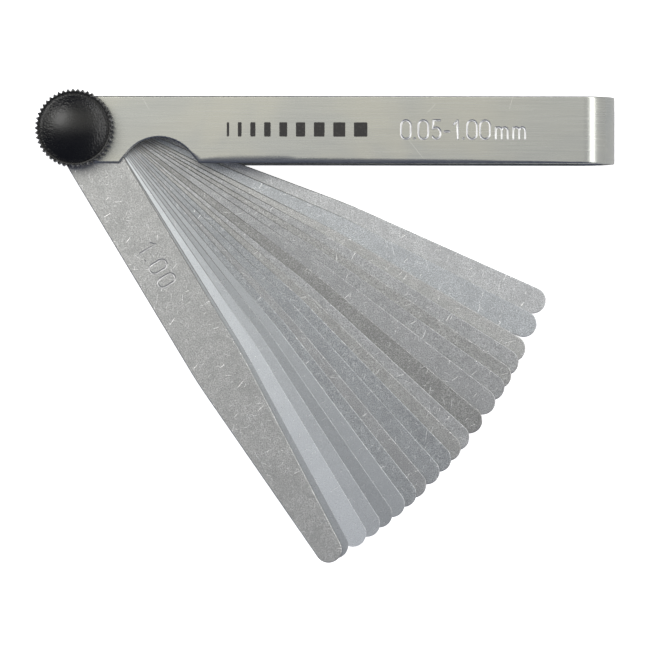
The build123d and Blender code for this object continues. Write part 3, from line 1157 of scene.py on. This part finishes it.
def makeWasher():
    outside, bore, corner = washerShape["radius"], washerShape["bore"], washerShape["corner"]
    low, high = washerLow.z + corner, washerHigh.z - corner
    rows = []
    for radius, height, turn in ((outside - corner, low, -90), (outside - corner, high, 0),
                                 (bore + corner, high, 90), (bore + corner, low, 180)):
        rows += arc(radius, height, corner, corner, turn, turn + 90, 4)
    bm = bmesh.new()
    rings = lathe(bm, rows, washerShape["steps"])
    joinRings(bm, [rings[-1], rings[0]])
    return settle(makePiece("flatWasher", bm, [turnedMaterial("washerSteel")]), "washer", "washer")


makeKnob()
makeScrew()
makeInsert()
makeWasher()
print("knob and pivot built")


view = {
    "centre": Vector((47.06 * mm, -36.84 * mm, frontLeafTop)),
    "distance": 800 * mm,
    "width": 122.6 * mm,  # what the picture spans at the front leaf
    "roll": math.radians(0.08),
}


def makeCamera():
    data = bpy.data.cameras.new("overhead")
    data.lens = data.sensor_width * view["distance"] / view["width"]
    camera = addObject("overhead", data)
    camera.location = view["centre"] + Vector((0, 0, view["distance"]))
    camera.rotation_euler.z = view["roll"]
    bpy.context.scene.camera = camera


floorLook = {"half": 1.5, "drop": 0.1 * mm, "grey": (0.88, 0.88, 0.88, 1.0), "glow": 0.90}


def makeFloor():
    bm = bmesh.new()
    half = floorLook["half"]
    bm.faces.new(addRing(bm, [(-half, -half, 0), (half, -half, 0), (half, half, 0), (-half, half, 0)]))
    material, tree, shader, _ = newMaterial("paleFloor", 0.0, Roughness=0.9)
    shader.inputs["Base Color"].default_value = floorLook["grey"]
    shader.inputs["Specular IOR Level"].default_value = 0.0
    shader.inputs["Emission Color"].default_value = (1.0, 1.0, 1.0, 1.0)
    seen = tree.nodes.new("ShaderNodeLightPath").outputs["Is Camera Ray"]
    feed(tree, shader.inputs["Emission Strength"], times(tree, seen, floorLook["glow"]))
    floor = makePiece("paleFloor", bm, [material])
    floor.location.z = cadBox[0].z - floorLook["drop"]


# Soft surroundings: a ceiling brightest to the far left, stopping short of the near wall, and dim walls
surroundings = {
    "ceiling": (1.62, 1.60, 1.50),
    "walls": (0.105, 0.12, 0.19),
    "rightWall": (0.80, 0.80, 0.80),
    "ceilingFrom": 0.35,  # height in the sky where the walls end
    "ceilingFull": 0.78,
    "nearDark": -0.10,
    "nearBright": 0.16,
    "farEnds": 0.36,
    "farDark": 0.58,
    "leftward": 1.5,
    "sideLeast": 0.68,
    "sideMost": 1.25,
    "rightWallFrom": 0.3,
    "rightWallFull": 0.9,
}


def makeSurroundings():
    world = bpy.data.worlds.new("softRoom")
    bpy.context.scene.world = world
    world.use_nodes = True
    tree = world.node_tree
    background = tree.nodes["Background"]
    towards = axesOf(tree, tree.nodes.new("ShaderNodeTexCoord").outputs["Generated"])
    room = surroundings
    high = remap(tree, towards["Z"], room["ceilingFrom"], room["ceilingFull"])
    far = remap(tree, towards["Y"], room["nearDark"], room["nearBright"])
    side = calc(tree, "SUBTRACT", 1.0, times(tree, towards["X"], room["leftward"]))
    side = calc(tree, "MINIMUM", calc(tree, "MAXIMUM", side, room["sideLeast"]), room["sideMost"])
    ceiling = mixColours(tree, 1.0, (*room["ceiling"], 1.0), side, "MULTIPLY")
    beyond = remap(tree, towards["Y"], room["farEnds"], room["farDark"], 1.0, 0.0)
    shade = times(tree, times(tree, high, far), beyond)
    right = remap(tree, towards["X"], room["rightWallFrom"], room["rightWallFull"])
    walls = gradeColour(tree, right, room["walls"], room["rightWall"])
    feed(tree, background.inputs["Color"], mixColours(tree, shade, walls, ceiling))
    background.inputs["Strength"].default_value = 1.0


# name, place, aim, width, depth, power
softboxes = (
    ("softboxUpperLeft", (-0.37, 0.29, 0.88), (0.0, 0.0, 0.0), 0.34, 0.34, 1.7),
    ("softboxRight", (0.63, 0.10, 0.80), (0.09, 0.0, 0.0), 1.00, 0.27, 2.7),
    ("softboxEdges", (0.42, 0.62, 0.70), (0.05, -0.03, 0.0), 0.50, 0.22, 0.85),
)


def makeLights():
    for name, place, aim, width, depth, power in softboxes:
        data = bpy.data.lights.new(name, "AREA")
        data.shape = "RECTANGLE"
        data.size = width
        data.size_y = depth
        data.energy = power
        lamp = addObject(name, data)
        lamp.location = place
        lamp.rotation_euler = (Vector(aim) - Vector(place)).to_track_quat("-Z", "Y").to_euler()


makeCamera()
makeFloor()
makeSurroundings()
makeLights()
bpy.context.scene.view_settings.view_transform = "Standard"
print("camera, floor and lights set")

bpy.context.view_layer.update()
